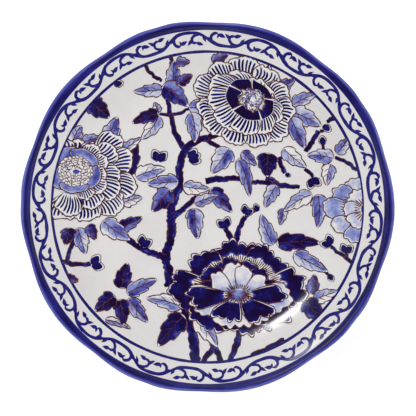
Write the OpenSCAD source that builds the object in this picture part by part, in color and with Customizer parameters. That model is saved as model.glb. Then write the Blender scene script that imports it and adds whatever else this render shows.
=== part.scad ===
// Round china serving platter with a lobed lip, built up in the layers that a potter makes it in:
// fired clay, foot ring, glaze coats, and the painted bands and border on the glaze.
// Frame: +Z up, origin at the centre of the foot ring's standing edge. Millimetres.

/* [Platter] */
// Diameter over the tips of the lip's lobes
rim_d = 320; // [260:2:400]
// Height from the standing edge of the foot to the lip, where the lobes reach furthest
height = 29; // [22:0.5:42]
// Diameter of the flat well
well_d = 204; // [150:2:230]
// Thickness of the finished wall, glaze included
wall_t = 5; // [3.5:0.1:7]
// How far the rim turns out flat towards the lip: 0 is a plain bowl curve
evert = 0.45; // [0:0.05:0.9]

/* [Lip] */
// Number of lobes: every second one has a small dent at its middle
lobes = 10; // [6:2:16]
// Depth of the valleys between the lobes
lobe_depth = 3; // [0:0.1:4]
// Depth of the dent in every second lobe
dent_depth = 0.8; // [0:0.1:2]
// Width of the dent, in degrees round the lip
dent_span = 7; // [4:0.5:10]
// Direction of the first dented lobe, in degrees from +X
dent_turn = 34; // [0:1:72]
// How much thicker the rolled lip is than the wall
bead = 1.2; // [0:0.1:2.5]
// Width of the rolled lip
bead_w = 7; // [4:0.5:12]
// Width of the edge over which the lobes fade into the round platter
lobe_w = 10; // [9:1:24]

/* [Foot] */
// Outer diameter of the foot ring
foot_d = 186; // [120:2:210]
// Width of the foot ring
foot_w = 6; // [4:0.5:10]
// Depth of the hollow inside the foot ring
foot_h = 4.6; // [3:0.2:8]
// Height of bare clay left at the standing edge
bare_h = 1.2; // [0.6:0.1:2]
// Chamfer on both sides of the standing edge
foot_bevel = 1; // [0.4:0.1:1.5]

/* [Glaze and colours] */
// Thickness of the glaze
glaze_t = 0.35; // [0.2:0.05:0.8]
// Thickness of the painted colours
paint_t = 0.08; // [0.04:0.01:0.2]
// Width of the blue band, measured in from the tips of the lobes
band_w = 8.2; // [5:0.2:12]
// How far the blue band runs on round the lip, as a share of the half circle
band_wrap = 0.9; // [0.5:0.05:1]
// Width of the dark line along the inner edge of the band
rim_line_w = 3; // [1.5:0.1:4]
// Radius of the middle of the line round the picture
well_line_r = 133.5; // [105:0.5:150]
// Width of the line round the picture
well_line_w = 1.8; // [1:0.1:3]

/* [Border] */
// Waves of the vine round the border
vine_waves = 14; // [10:1:20]
// Width of the vine's stem
vine_w = 1.5; // [0.8:0.1:2.5]
// Clear space between the vine and the lines on both sides of it
vine_gap = 1.6; // [1:0.1:3]
// Radius of the middle of a curl
curl_r = 2.4; // [1.5:0.1:3]
// Width of a curl's stroke
curl_w = 1.1; // [0.6:0.1:1.5]

/* [Picture] */
// Size of the flowers, as a share of the drawn size
bloom_size = 1; // [0.7:0.05:1.1]
// Width of the leaves, as a share of the drawn width
leaf_size = 1; // [0.7:0.05:1.2]
// Width of the trunk
trunk_w = 6; // [3:0.5:8]
// Width of the branches and twigs, as a share of the drawn width
twig_size = 1; // [0.7:0.05:1.3]
// Clear space between the picture and the line round it
picture_gap = 0.4; // [0.2:0.1:3]

/* [Detail] */
// Steps round each lobe
lobe_steps = 10; // [6:2:10]

/* [Hidden] */

rim_r = rim_d / 2;
well_r = well_d / 2;
foot_r = foot_d / 2;
floor_z = foot_h + wall_t / 2;               // middle of the wall in the flat well
lip_half = (wall_t + bead) / 2;              // half the thickness of the lip
reach = rim_r - lip_half;                    // radius at the middle of the lip
rise = height - floor_z - lip_half;          // climb from the well to the middle of the lip
steps = lobes * lobe_steps;
half_turn = 180;

// ---- The wall's section ----
// A station s runs along the section: -1 is the axis, 0 the edge of the well and 1 the lip on the
// face, 1 to 2 go round the lip, and 2, 3 and 4 are the lip, the well's edge and the axis on the back.
function share(s) = s <= 1 ? s : s >= 2 ? 3 - s : 1;
function climb(t) = (1 - evert) * (1.5 * t^2 - 0.5 * t^3) + evert * (3 * t^2 - 2 * t^3);
function slope(t) = (1 - evert) * (3 * t - 1.5 * t^2) + evert * (6 * t - 6 * t^2);
function middle(t) = t <= 0 ? [well_r * (1 + t), floor_z]
                            : [well_r + (reach - well_r) * t, floor_z + rise * climb(t)];
function tilt(t) = t <= 0 ? 0 : atan2(rise * slope(t), reach - well_r);
function half_wall(t) = wall_t / 2 + bead / 2 * exp(-((1 - t) * (reach - well_r) / (bead_w / 2))^2);
function facing(s) = s <= 1 ? 90 : s >= 2 ? -90 : 90 - half_turn * (s - 1);

// Point of the section at a station, at a distance out from the finished surface.
function section(s, out) =
    let (t = share(s), a = tilt(t) + facing(s), h = half_wall(t) + out)
    middle(t) + h * [cos(a), sin(a)];

// Station on the face whose finished surface has this radius.
function station(r, low = 0, high = 1, tries = 24) =
    let (mid = (low + high) / 2)
    tries == 0 ? mid
    : section(mid, 0)[0] < r ? station(r, mid, high, tries - 1) : station(r, low, mid, tries - 1);

// The same for the back.
function back_station(r, low = 2, high = 4, tries = 24) =
    let (mid = (low + high) / 2)
    tries == 0 ? mid
    : section(mid, 0)[0] > r ? back_station(r, mid, high, tries - 1)
    : back_station(r, low, mid, tries - 1);

// ---- The lip's lobes ----
soft = 0.22;                                 // rounds the bottom of the valleys
function valley(a) = 1 - sqrt((cos(a * lobes / 2)^2 + soft^2) / (1 + soft^2));
function to_dent(a) = let (p = 720 / lobes, q = a / p) (q - round(q)) * p;
function lobe(turn) =
    let (a = turn - dent_turn)
    -lobe_depth * valley(a) - dent_depth * exp(-(to_dent(a) / (dent_span / 2))^2);
function smooth(x) = let (k = max(0, min(1, x))) k * k * (3 - 2 * k);

// A point of the section turned round the axis and pushed along the rim by the lobes.
function placed(p, turn) =
    let (push = smooth((p[0] - rim_r + lobe_w) / lobe_w) * lobe(turn), a = tilt(1))
    [(p[0] + push * cos(a)) * cos(turn), (p[0] + push * cos(a)) * sin(turn), p[1] + push * sin(a)];

// Two triangles between row i and row j at step k, seen from one side or from the other. They are
// always cut from (i, k) to (j, k + 1), so that surfaces that lie on each other are cut alike.
function outward(i, j, k) = let (n = (k + 1) % steps) [
    [i * steps + k, i * steps + n, j * steps + n],
    [i * steps + k, j * steps + n, j * steps + k]];
function inward(i, j, k) = [for (t = outward(i, j, k)) back_to_front(t)];
function back_to_front(list) = [for (i = [len(list) - 1 : -1 : 0]) list[i]];

// Points of section rows turned round the axis, with more points on the axis after them.
function turned(rows, axis_z = []) = concat(
    [for (p = rows) for (k = [0 : steps - 1]) placed(p, 360 * k / steps)],
    [for (z = axis_z) [0, 0, z]]);

// Closed ring between two skins, each a list of section points from the same end.
module lobed_skin(high, low) {
    n = len(high);
    last = n + len(low) - 1;
    faces = [for (k = [0 : steps - 1]) each concat(
        [for (i = [0 : n - 2]) each outward(i, i + 1, k)],
        [for (i = [n : last - 1]) each inward(i, i + 1, k)],
        outward(n, 0, k), outward(n - 1, last, k))];
    polyhedron(turned(concat(high, low)), faces);
}

// The same, but closed over the axis at its inner end.
module lobed_dish(high, low, high_z, low_z) {
    n = len(high);
    last = n + len(low) - 1;
    top = (last + 1) * steps;
    faces = [for (k = [0 : steps - 1]) each concat(
        [for (i = [0 : n - 2]) each outward(i, i + 1, k)],
        [for (i = [n : last - 1]) each inward(i, i + 1, k)],
        outward(n - 1, last, k),
        [[top, (k + 1) % steps, k], [top + 1, n * steps + k, n * steps + (k + 1) % steps]])];
    polyhedron(turned(concat(high, low), [high_z, low_z]), faces);
}

// Solid whose section runs from a point on the axis above to a point on the axis below.
module lobed_disc(rows, high_z, low_z) {
    last = len(rows) - 1;
    top = (last + 1) * steps;
    faces = [for (k = [0 : steps - 1]) each concat(
        [for (i = [0 : last - 1]) each outward(i, i + 1, k)],
        [[top, (k + 1) % steps, k],
         [top + 1, last * steps + k, last * steps + (k + 1) % steps]])];
    polyhedron(turned(rows, [high_z, low_z]), faces);
}

// ---- Rows of the section that the pieces share ----
// A rising list of stations with one more put in, in place of any that it would crowd.
function put_in(list, s, room = 0.012) = concat(
    [for (x = list) if (x < s - room) x], [s], [for (x = list) if (x > s + room) x]);
function rows(stations, out) = [for (s = stations) section(s, out)];

band_start = station(rim_r - band_w);
band_split = station(rim_r - band_w + rim_line_w);
band_end = 1 + band_wrap;
hollow_r = foot_r - foot_w;                  // inside of the foot ring
foot_start = back_station(foot_r);           // where the back meets the ring's outside
hollow_start = back_station(hollow_r);       // where it meets the ring's inside
lip_edge = 1.5;                              // where the face's glaze meets the back's

face_stations = put_in(put_in([0, 0.1, 0.22, 0.36, 0.52, 0.68, 0.8, 0.9, 1], band_start), band_split);
lip_stations = put_in([1.25, lip_edge, 1.75], band_end);
back_stations = put_in(put_in([2, 2.08, 2.25, 2.45, 2.65, 2.85, 3], foot_start), hollow_start);

// The face and the back as points with rising radius, to read heights off.
face_line = rows(face_stations, 0);
back_line = back_to_front(rows(back_stations, 0));
back_clay_line = back_to_front(rows(back_stations, -glaze_t));

// Points of such a line between two radii.
function along(line, from, to) = concat(
    [[from, lookup(from, line)]],
    [for (p = line) if (p[0] > from + 0.01 && p[0] < to - 0.01) p],
    [[to, lookup(to, line)]]);

// ---- Clay ----
// Pressed clay body, one piece from the well to the lobed lip.
module clay_body() color("#dccdb2")
    lobed_disc(rows(concat(face_stations, lip_stations, back_stations), -glaze_t),
        section(-1, -glaze_t)[1], section(4, -glaze_t)[1]);

// Foot ring, luted to the underside: its sides are glazed and its standing edge is bare.
module foot_ring() color("#d2bf9f")
    rotate_extrude($fn = 128)
        polygon(concat(
            [[hollow_r + glaze_t, foot_bevel], [hollow_r + glaze_t + foot_bevel, 0],
             [foot_r - glaze_t - foot_bevel, 0], [foot_r - glaze_t, foot_bevel]],
            back_to_front(along(back_clay_line, hollow_r + glaze_t, foot_r - glaze_t))));

// ---- Glaze ----
// White glaze over the whole face, out to the edge of the lip.
module face_glaze() color("#e9e7e8") {
    stations = concat(face_stations, [for (s = lip_stations) if (s <= lip_edge) s]);
    lobed_dish(rows(stations, 0), rows(stations, -glaze_t),
        section(-1, 0)[1], section(-1, -glaze_t)[1]);
}

// White glaze over the back, from the edge of the lip down the outside of the foot ring.
module back_glaze() color("#e4e2e4") {
    stations = concat(
        [for (s = lip_stations) if (s >= lip_edge) s],
        [for (s = back_stations) if (s <= foot_start) s]);
    lobed_skin(
        concat(rows(stations, 0), [[foot_r, bare_h + glaze_t], [foot_r - glaze_t, bare_h]]),
        concat(rows(stations, -glaze_t), [[foot_r - glaze_t, lookup(foot_r - glaze_t, back_clay_line)]]));
}

// White glaze in the hollow of the foot.
module foot_glaze() color("#e4e2e4")
    rotate_extrude($fn = 128)
        polygon(concat(
            along(back_line, 0, hollow_r),
            [[hollow_r, bare_h + glaze_t], [hollow_r + glaze_t, bare_h]],
            back_to_front(along(back_clay_line, 0, hollow_r + glaze_t))));

// ---- Painted bands ----
// Coat of colour that lies on the glaze between the first and the last of these stations.
module coat(stations) lobed_skin(rows(stations, paint_t), rows(stations, 0));

// Brushed blue band over the rolled lip.
module rim_band() color("#3c4796")
    coat(concat([for (s = face_stations) if (s >= band_split) s],
        [for (s = lip_stations) if (s <= band_end) s]));

// Dark line where the band's colour gathers at the foot of the rolled lip.
module rim_line() color("#1a1258") coat([band_start, band_split]);

// A round coat of colour on the face, between two radii short of the lobes.
module round_coat(from, to) {
    low = along(face_line, from, to);
    rotate_extrude($fn = 200)
        polygon(concat(low, [for (p = back_to_front(low)) p + [0, paint_t]]));
}

// The part of it that a flat drawing covers.
module painted(from, to) intersection() {
    linear_extrude(height + rim_d) children();
    round_coat(from, to);
}

// Blue line round the picture.
module well_line() color("#1d1a78")
    round_coat(well_line_r - well_line_w / 2, well_line_r + well_line_w / 2);

// ---- Painted border ----
border_in = well_line_r + well_line_w / 2 + vine_gap;
border_out = rim_r - band_w - vine_gap;
border_r = (border_in + border_out) / 2;
vine_swing = (border_out - border_in - vine_w) / 2;
vine_steps = vine_waves * 20;
wave_turn = 360 / vine_waves;

function polar(r, a) = [r * cos(a), r * sin(a)];
function vine_r(a) = border_r + vine_swing * sin(vine_waves * a);

// Wavy stem that runs round the border.
module border_vine() color("#1d1a78")
    painted(border_in - 1, border_out + 1) difference() {
        polygon([for (k = [0 : vine_steps - 1]) let (a = 360 * k / vine_steps)
            polar(vine_r(a) + vine_w / 2, a)]);
        polygon([for (k = [0 : vine_steps - 1]) let (a = 360 * k / vine_steps)
            polar(vine_r(a) - vine_w / 2, a)]);
    }

// Curl of a side shoot: an open ring that tapers off, with its mouth turned to one side.
curl_span = 250;
module curl() {
    turns = [0 : curl_span / 12 : curl_span];
    polygon(concat(
        [for (a = turns) polar(curl_r + curl_w / 2, a)],
        back_to_front([for (a = turns) polar(curl_r - curl_w / 2 * (1 - a / curl_span), a)])));
}

// Side shoots of the vine, one in the hollow of each half wave.
module border_curls() color("#1d1a78")
    painted(border_in - 1, border_out + 1) for (k = [0 : 2 * vine_waves - 1]) {
        side = k % 2 == 0 ? -1 : 1;
        rotate((k / 2 + 0.25) * wave_turn)
            translate([border_r + side * (vine_swing - curl_r - vine_w), 0])
                rotate(side > 0 ? 200 : 20) curl();
    }

// ---- Painted picture ----
// The picture is drawn on a circle of this radius and scaled to the circle it has on the platter.
drawn_r = 132;
picture_r = well_line_r - well_line_w / 2 - picture_gap;
picture_scale = picture_r / drawn_r;

module picture() painted(0, picture_r + 1) intersection() {
    scale(picture_scale) children();
    circle(picture_r, $fn = 160);
}

// Flower head: centre, radius, direction it leans in, how much further it reaches there, petals.
BLOOMS = [
    [[33, 90], 39, 225, 0.13, 13],
    [[-107, 28], 42, -70, 0.12, 13],
    [[28, -68], 48, -20, 0.16, 11],
    [[128, 0], 22, 180, 0.1, 7]];

// Leaf: stalk end, tip, width.
LEAVES = [
    // round the top of the trunk
    [[-29, 105], [-30, 125], 13], [[-38, 102], [-64, 99], 12], [[-39, 104], [-16, 91], 17],
    [[-42, 81], [-65, 75], 11], [[-42, 79], [-55, 57], 13], [[-42, 82], [-46, 91], 8],
    [[-13, 82], [-8, 56], 14],
    // between the flowers on the left
    [[-101, 91], [-85, 78], 17], [[-80, 60], [-78, 77], 14], [[-62, 35], [-60, 55], 14],
    [[-62, 26], [-37, 36], 12],
    // along the trunk
    [[-25, 22], [-52, 20], 14], [[-33, 14], [-48, -3], 16], [[-20, 18], [2, 14], 12],
    [[3, 16], [21, -5], 13], [[-11, 4], [8, 10], 10], [[-11, -2], [-10, -27], 15],
    [[-58, 8], [-71, 4], 9], [[-75, -16], [-58, -12], 9], [[-90, -14], [-68, -28], 13],
    // under the left flower and below it
    [[-74, -71], [-71, -48], 15], [[-70, -75], [-44, -62], 13], [[-68, -79], [-53, -100], 13],
    [[-76, -80], [-71, -101], 13], [[-80, -77], [-97, -89], 14],
    [[-22, -87], [-52, -76], 13], [[-20, -94], [-44, -119], 18], [[-11, -96], [11, -119], 15],
    // right of the upper flower
    [[64, 122], [72, 108], 9], [[76, 92], [93, 99], 12], [[74, 83], [99, 71], 15],
    [[76, 70], [86, 47], 14], [[70, 44], [86, 31], 12],
    [[53, 47], [51, 26], 16], [[20, 49], [4, 29], 16], [[28, 41], [40, 10], 13],
    // at the right
    [[109, 42], [87, 47], 13], [[107, 36], [103, 19], 12], [[112, 46], [122, 59], 10],
    [[60, 19], [49, 0], 12], [[91, 11], [66, -1], 13], [[96, 10], [99, -17], 14],
    // round the lower flower
    [[57, -21], [44, -6], 12], [[76, -33], [97, -28], 14], [[82, -45], [104, -58], 14],
    [[88, -76], [95, -60], 11], [[91, -81], [112, -72], 12], [[86, -84], [98, -99], 13]];

// Limb: width at the start and at the end, and the points it runs through.
TRUNK = [1, 0.75, [[-10, -132], [-14, -103], [-21, -88], [-31, -73], [-36, -60], [-36, -42],
    [-30, -25], [-31, -5], [-29, 6], [-23, 23], [-24, 37], [-19, 50]]];
LIMBS = [
    [4, 2.5, [[-19, 50], [-28, 64], [-32, 78], [-34, 96]]],
    [2.5, 2, [[-32, 79], [-25, 82], [-15, 86]]], [2.5, 2, [[-32, 79], [-42, 81]]],
    [5, 3.5, [[-20, 49], [-9, 57], [4, 62]]],
    [3, 2, [[-54, 121], [-39, 109]]], [3, 2.5, [[-32, 131], [-31, 122]]],
    [5, 2.5, [[0, 21], [22, 24], [50, 21], [80, 18]]],
    [4, 2.5, [[-31, -8], [-21, -2], [-11, 8]]],
    [5, 3, [[-36, -44], [-55, -38], [-70, -28]]],
    [3, 2.5, [[-124, -47], [-101, -49]]],
    [4, 3, [[23, -30], [16, -16]]], [4, 3, [[25, -29], [33, -5]]],
    [3, 2.5, [[127, -49], [106, -32]]],
    [3, 2.5, [[108, 76], [95, 62], [85, 47]]],
    [2.5, 2, [[129, 30], [110, 44]]],
    [2.5, 2, [[78, 36], [92, 24]]],
    [4, 4, [[28, -108], [24, -118], [18, -132]]],
    [3, 3, [[2, -118], [10, -132]]],
    [3, 3, [[40, -127], [52, -121], [68, -113]]]];

module bloom(b) translate(b[0]) polygon([for (a = [0 : 4 : 359])
    let (frill = 1 - 0.07 * abs(sin(a * b[4] / 2 + 45)))
    polar(bloom_size * b[1] * frill * (1 + b[3] * cos(a - b[2])), a)]);
module blooms() for (b = BLOOMS) bloom(b);

// Half width of a leaf along its length, fullest before the middle and pointed at the tip.
function leaf_half(t) = 0.62 * sin(180 * t^0.8) * (1 - 0.25 * t);
module leaf(l) {
    run = l[1] - l[0];
    span = norm(run);
    side = l[2] * leaf_size;
    turns = [0.06, 0.18, 0.36, 0.56, 0.78];
    translate(l[0]) rotate(atan2(run[1], run[0])) polygon(concat(
        [[0, 0]], [for (t = turns) [t * span, -leaf_half(t) * side]],
        [[span, 0]], [for (t = back_to_front(turns)) [t * span, leaf_half(t) * side]]));
}
module leaves() for (l = LEAVES) leaf(l);

// Limb as one outline that narrows evenly from its first point to its last.
module limb(start_w, end_w, path) {
    last = len(path) - 1;
    function along(k) = path[min(last, k + 1)] - path[max(0, k - 1)];
    function across(k) = let (d = along(k)) [-d[1], d[0]] / norm(d);
    function half(k) = (start_w + (end_w - start_w) * k / last) / 2;
    polygon(concat([for (k = [0 : last]) path[k] + across(k) * half(k)],
        [for (k = [last : -1 : 0]) path[k] - across(k) * half(k)]));
}
module limbs() {
    limb(TRUNK[0] * trunk_w, TRUNK[1] * trunk_w, TRUNK[2]);
    for (l = LIMBS) limb(l[0] * twig_size, l[1] * twig_size, l[2]);
}

// Coats of the flower heads, of the leaves and of the trunk with its branches and twigs.
module picture_blooms() color("#7f86bd") picture() blooms();
module picture_leaves() color("#5a64ad") picture() difference() { leaves(); blooms(); }
module picture_branches() color("#1b1550")
    picture() difference() { limbs(); leaves(); blooms(); }

clay_body();
foot_ring();
face_glaze();
back_glaze();
foot_glaze();
rim_band();
rim_line();
well_line();
border_vine();
border_curls();
picture_blooms();
picture_leaves();
picture_branches();
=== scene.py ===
import bisect
import math
import random
import bpy
import bmesh
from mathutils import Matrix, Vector, noise


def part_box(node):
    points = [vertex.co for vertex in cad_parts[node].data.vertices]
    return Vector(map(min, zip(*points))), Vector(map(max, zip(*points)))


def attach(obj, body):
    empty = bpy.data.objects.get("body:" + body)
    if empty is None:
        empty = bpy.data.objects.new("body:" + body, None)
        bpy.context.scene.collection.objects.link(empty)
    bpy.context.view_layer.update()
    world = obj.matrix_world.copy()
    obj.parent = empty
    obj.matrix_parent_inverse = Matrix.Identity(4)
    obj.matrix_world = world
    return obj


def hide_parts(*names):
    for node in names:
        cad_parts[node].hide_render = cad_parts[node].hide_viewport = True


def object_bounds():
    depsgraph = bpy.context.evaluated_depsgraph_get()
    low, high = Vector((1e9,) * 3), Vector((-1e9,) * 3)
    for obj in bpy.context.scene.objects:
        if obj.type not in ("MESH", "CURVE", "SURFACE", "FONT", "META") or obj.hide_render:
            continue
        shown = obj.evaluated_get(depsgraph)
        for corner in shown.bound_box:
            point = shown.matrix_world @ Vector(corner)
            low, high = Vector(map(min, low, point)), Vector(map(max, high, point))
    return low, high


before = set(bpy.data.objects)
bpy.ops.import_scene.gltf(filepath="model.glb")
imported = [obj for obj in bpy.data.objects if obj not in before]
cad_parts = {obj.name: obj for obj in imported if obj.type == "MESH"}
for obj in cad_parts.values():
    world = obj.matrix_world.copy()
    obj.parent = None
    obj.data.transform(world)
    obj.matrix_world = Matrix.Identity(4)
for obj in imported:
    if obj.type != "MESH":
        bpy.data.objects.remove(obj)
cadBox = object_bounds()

print("frame loaded")
scene = bpy.context.scene
scene.view_settings.view_transform = "Standard"
mm = 0.001  # the drawing is laid out in millimetres, the scene is in metres


view = {
    "lens": 100,            # a long lens, held straight above
    "sensor": 36,
    "frameWidth": 354.2,    # mm seen across the lip's level
    "aimX": 0.6,
    "aimY": -0.9,
}


def addCamera():
    lipLevel = cadBox[1][2]
    distance = view["frameWidth"] * mm * view["lens"] / view["sensor"]
    data = bpy.data.cameras.new("camera")
    data.lens = view["lens"]
    data.sensor_width = view["sensor"]
    camera = bpy.data.objects.new("camera", data)
    camera.location = (view["aimX"] * mm, view["aimY"] * mm, lipLevel + distance)
    scene.collection.objects.link(camera)
    scene.camera = camera


addCamera()
print("camera set")


def smoothStep(x):
    x = max(0.0, min(1.0, x))
    return x * x * (3 - 2 * x)


def mix(a, b, t):
    return a + (b - a) * t


def polar(radius, turn):
    return Vector((radius * math.cos(math.radians(turn)), radius * math.sin(math.radians(turn))))


# the platter's section, as the potter's template cuts it
platter = {
    "rimRadius": 160.0,
    "height": 29.0,
    "wellRadius": 102.0,
    "wall": 5.0,
    "evert": 0.45,       # how far the rim turns out flat
    "lobes": 10,
    "lobeDepth": 3.0,
    "dentDepth": 0.8,
    "dentSpan": 7.0,
    "dentTurn": 34.0,
    "bead": 1.2,
    "beadWidth": 7.0,
    "lobeWidth": 10.0,
    "valleySoftness": 0.22,
    "footHollow": 4.6,
    "glaze": 0.35,
    "paint": 0.08,
    "steps": 300,        # faces round
    "faceRow": 800,      # stations in the table of the face's height
    "sharpTurn": 0.6,    # radians
}
middleFloor = platter["footHollow"] + platter["wall"] / 2
lipHalf = (platter["wall"] + platter["bead"]) / 2
reach = platter["rimRadius"] - lipHalf
rise = platter["height"] - middleFloor - lipHalf


def sectionPoint(station, out):
    # station -1 is the axis, 0 the well's edge, 1 to 2 goes round the lip, 4 is the axis again
    t = station if station <= 1 else 3 - station if station >= 2 else 1.0
    evert = platter["evert"]
    if t <= 0:
        centre = Vector((platter["wellRadius"] * (1 + t), middleFloor))
        tilt = 0.0
    else:
        climb = (1 - evert) * (1.5 * t ** 2 - 0.5 * t ** 3) + evert * (3 * t ** 2 - 2 * t ** 3)
        slope = (1 - evert) * (3 * t - 1.5 * t ** 2) + evert * (6 * t - 6 * t ** 2)
        run = reach - platter["wellRadius"]
        centre = Vector((platter["wellRadius"] + run * t, middleFloor + rise * climb))
        tilt = math.degrees(math.atan2(rise * slope, run))
    facing = 90 if station <= 1 else -90 if station >= 2 else 90 - 180 * (station - 1)
    inward = (1 - t) * (reach - platter["wellRadius"]) / (platter["beadWidth"] / 2)
    half = platter["wall"] / 2 + platter["bead"] / 2 * math.exp(-inward ** 2) + out
    return centre + polar(half, tilt + facing)


lipTilt = math.atan2(rise * 1.5 * (1 - platter["evert"]), reach - platter["wellRadius"])


def lobePush(turn):
    # how far the lip is pulled in between its lobes, with a small dent in every second lobe
    p = platter
    a = turn - p["dentTurn"]
    soft = p["valleySoftness"] ** 2
    valley = 1 - math.sqrt((math.cos(math.radians(a * p["lobes"] / 2)) ** 2 + soft) / (1 + soft))
    pitch = 720 / p["lobes"]
    toDent = a - round(a / pitch) * pitch
    return -p["lobeDepth"] * valley - p["dentDepth"] * math.exp(-(toDent / (p["dentSpan"] / 2)) ** 2)


def lobed(radius, height, turn):
    # a point of the section, turned round the axis and pushed by the lobes, in metres
    push = smoothStep((radius - platter["rimRadius"] + platter["lobeWidth"]) / platter["lobeWidth"])
    push *= lobePush(turn)
    flat = polar(radius + push * math.cos(lipTilt), turn)
    return Vector((flat.x, flat.y, height + push * math.sin(lipTilt))) * mm


# height of the face at each radius, read off a fine row of stations
faceRow = [sectionPoint(-1 + 2 * k / platter["faceRow"], 0.0) for k in range(platter["faceRow"] + 1)]


def faceHeight(radius):
    low, high = 0, len(faceRow) - 1
    while high - low > 1:
        middle = (low + high) // 2
        if faceRow[middle].x < radius:
            low = middle
        else:
            high = middle
    a, b = faceRow[low], faceRow[high]
    return mix(a.y, b.y, max(0.0, min(1.0, (radius - a.x) / (b.x - a.x))))


def newMaterial(name, roughness, specular=0.5):
    material = bpy.data.materials.new(name)
    material.use_nodes = True
    shader = material.node_tree.nodes["Principled BSDF"]
    shader.inputs["Roughness"].default_value = roughness
    shader.inputs["Specular IOR Level"].default_value = specular
    return material, material.node_tree, shader


def addNoise(tree, vector, scale, detail=3.0, roughness=0.5):
    node = tree.nodes.new("ShaderNodeTexNoise")
    node.inputs["Scale"].default_value = scale
    node.inputs["Detail"].default_value = detail
    node.inputs["Roughness"].default_value = roughness
    tree.links.new(vector, node.inputs["Vector"])
    return node.outputs["Fac"]


def addRamp(tree, value, stops):
    node = tree.nodes.new("ShaderNodeValToRGB")
    marks = node.color_ramp.elements
    while len(marks) < len(stops):
        marks.new(0.5)
    for mark, (place, colour) in zip(marks, stops):
        mark.position = place
        mark.color = (*colour, 1.0)
    tree.links.new(value, node.inputs["Fac"])
    return node.outputs["Color"]


def addMath(tree, operation, a, b=None, c=None):
    node = tree.nodes.new("ShaderNodeMath")
    node.operation = operation
    for socket, value in zip(node.inputs, (a, b, c)):
        if value is None:
            continue
        if isinstance(value, (int, float)):
            socket.default_value = value
        else:
            tree.links.new(value, socket)
    return node.outputs["Value"]


def objectPlace(tree):
    return tree.nodes.new("ShaderNodeTexCoord").outputs["Object"]


def readAttribute(tree, name, socket="Fac"):
    node = tree.nodes.new("ShaderNodeAttribute")
    node.attribute_name = name
    return node.outputs[socket]


def addBump(tree, shader, height, distance):
    node = tree.nodes.new("ShaderNodeBump")
    node.inputs["Strength"].default_value = 1.0
    node.inputs["Distance"].default_value = distance
    tree.links.new(height, node.inputs["Height"])
    tree.links.new(node.outputs["Normal"], shader.inputs["Normal"])


glazeLook = {
    "white": (0.690, 0.670, 0.668),
    "shade": (0.625, 0.598, 0.602),
    "roughness": 0.14,
    "ripple": 0.05 * mm,   # the slow unevenness of a poured glaze
    "rippleScale": 38.0,
    "cloudScale": 26.0,
    "grainScale": 900.0,
}


def rippleBump(tree, shader, place):
    # every glazed finish shares one ripple, so a reflection runs on across the paint
    slow = addNoise(tree, place, glazeLook["rippleScale"], 2.0)
    addBump(tree, shader, slow, glazeLook["ripple"])


def makeGlaze():
    material, tree, shader = newMaterial("whiteGlaze", glazeLook["roughness"])
    place = objectPlace(tree)
    cloud = addNoise(tree, place, glazeLook["cloudScale"], 4.0, 0.6)
    fine = addNoise(tree, place, glazeLook["grainScale"], 2.0, 0.6)
    mixed = addMath(tree, "MULTIPLY_ADD", fine, 0.35, addMath(tree, "MULTIPLY", cloud, 0.65))
    colour = addRamp(tree, mixed, [(0.3, glazeLook["shade"]), (0.62, glazeLook["white"])])
    tree.links.new(colour, shader.inputs["Base Color"])
    rippleBump(tree, shader, place)
    return material


cobaltLook = {
    "white": glazeLook["white"],
    "palest": (0.46, 0.48, 0.62),
    "pale": (0.235, 0.27, 0.53),
    "middle": (0.082, 0.098, 0.36),
    "deep": (0.010, 0.009, 0.135),
    "nearBlack": (0.009, 0.003, 0.032),
    "brushScale": 150.0,
    "poolScale": 420.0,
}


def makeCobalt():
    # the wash: thin where its tone is low, pooled and nearly black where it is high
    material, tree, shader = newMaterial("cobaltWash", glazeLook["roughness"])
    place = objectPlace(tree)
    tone = readAttribute(tree, "tone")
    brushy = addNoise(tree, place, cobaltLook["brushScale"], 3.0, 0.6)
    pooled = addNoise(tree, place, cobaltLook["poolScale"], 3.0, 0.65)
    sway = addMath(tree, "MULTIPLY_ADD", brushy, 0.62, addMath(tree, "MULTIPLY", pooled, 0.38))
    sway = addMath(tree, "SUBTRACT", sway, 0.5)
    # the wash varies most in its middle tones and not at all on bare glaze
    spread = addMath(tree, "MINIMUM", addMath(tree, "MULTIPLY", tone, 3.0), 0.85)
    value = addMath(tree, "MULTIPLY_ADD", sway, spread, tone)
    look = cobaltLook
    colour = addRamp(tree, value, [
        (0.0, look["white"]), (0.12, look["white"]), (0.24, look["palest"]), (0.40, look["pale"]),
        (0.60, look["middle"]), (0.80, look["deep"]), (0.98, look["nearBlack"])])
    tree.links.new(colour, shader.inputs["Base Color"])
    rippleBump(tree, shader, place)
    return material


sepiaLook = {
    "scale": 260.0,
    "tones": [(0.30, (0.034, 0.008, 0.018)), (0.55, (0.095, 0.024, 0.030)), (0.80, (0.22, 0.10, 0.10))],
}


def makeSepia():
    material, tree, shader = newMaterial("sepiaLine", glazeLook["roughness"])
    place = objectPlace(tree)
    strength = addNoise(tree, place, sepiaLook["scale"], 3.0, 0.6)
    tree.links.new(addRamp(tree, strength, sepiaLook["tones"]), shader.inputs["Base Color"])
    rippleBump(tree, shader, place)
    return material


brushLook = {
    "scale": 300.0,
    "sway": 0.5,
    "tones": [(0.2, (0.12, 0.14, 0.40)), (0.5, (0.030, 0.030, 0.22)), (0.75, (0.011, 0.009, 0.135)),
              (1.0, (0.008, 0.003, 0.045))],
}


def makeBrushBlue():
    # strokes of the loaded brush: an even dark blue that thins out here and there
    material, tree, shader = newMaterial("brushBlue", glazeLook["roughness"])
    place = objectPlace(tree)
    tone = readAttribute(tree, "tone")
    sway = addMath(tree, "SUBTRACT", addNoise(tree, place, brushLook["scale"], 3.0, 0.6), 0.5)
    value = addMath(tree, "MULTIPLY_ADD", sway, brushLook["sway"], tone)
    tree.links.new(addRamp(tree, value, brushLook["tones"]), shader.inputs["Base Color"])
    rippleBump(tree, shader, place)
    return material


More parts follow.
